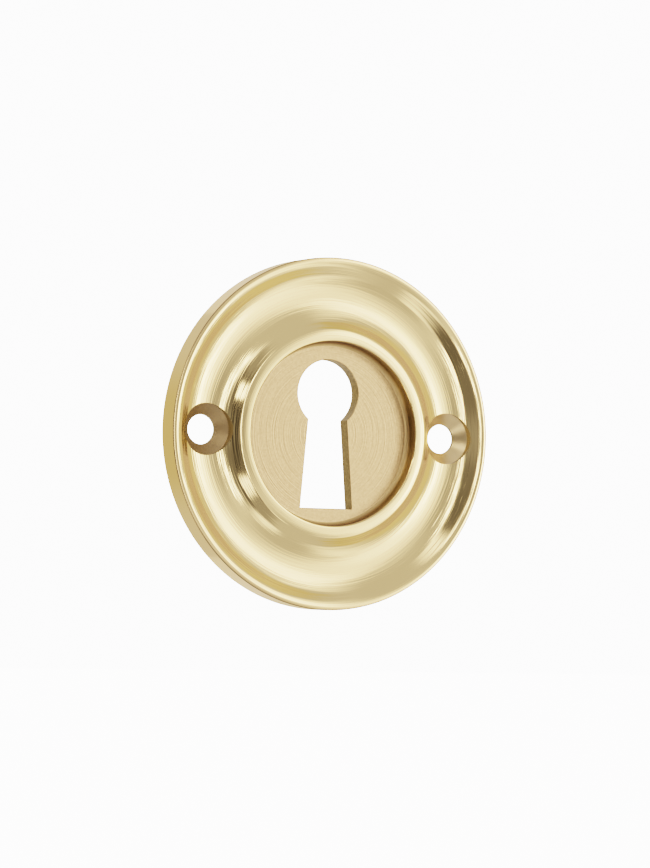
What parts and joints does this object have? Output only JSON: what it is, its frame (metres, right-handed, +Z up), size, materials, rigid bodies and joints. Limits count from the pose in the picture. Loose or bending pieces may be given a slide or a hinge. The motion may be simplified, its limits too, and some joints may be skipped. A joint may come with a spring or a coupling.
{
  "type": "keyhole escutcheon",
  "caption": "Round turned brass keyhole escutcheon: moulded rim, hollow cove, raised bead round a sunk floor with an open keyhole, and countersunk screw holes at the sides.",
  "frame": {"origin": "centre of the round plate on its flat back face, midway between the two screw holes", "axes": "+Y out of the back face into the door or drawer front, -Y out of the decorated front, +Z up with the round end of the keyhole at the top, +X to the right seen from the front"},
  "size_m": [0.05, 0.0041, 0.05],
  "materials": {
    "brass": "polished and unlacquered, with fine turning marks, satin on the floor and in the screw pockets"
  },
  "bodies": {
    "root": {"escutcheon": "brass"}
  },
  "joints": []
}
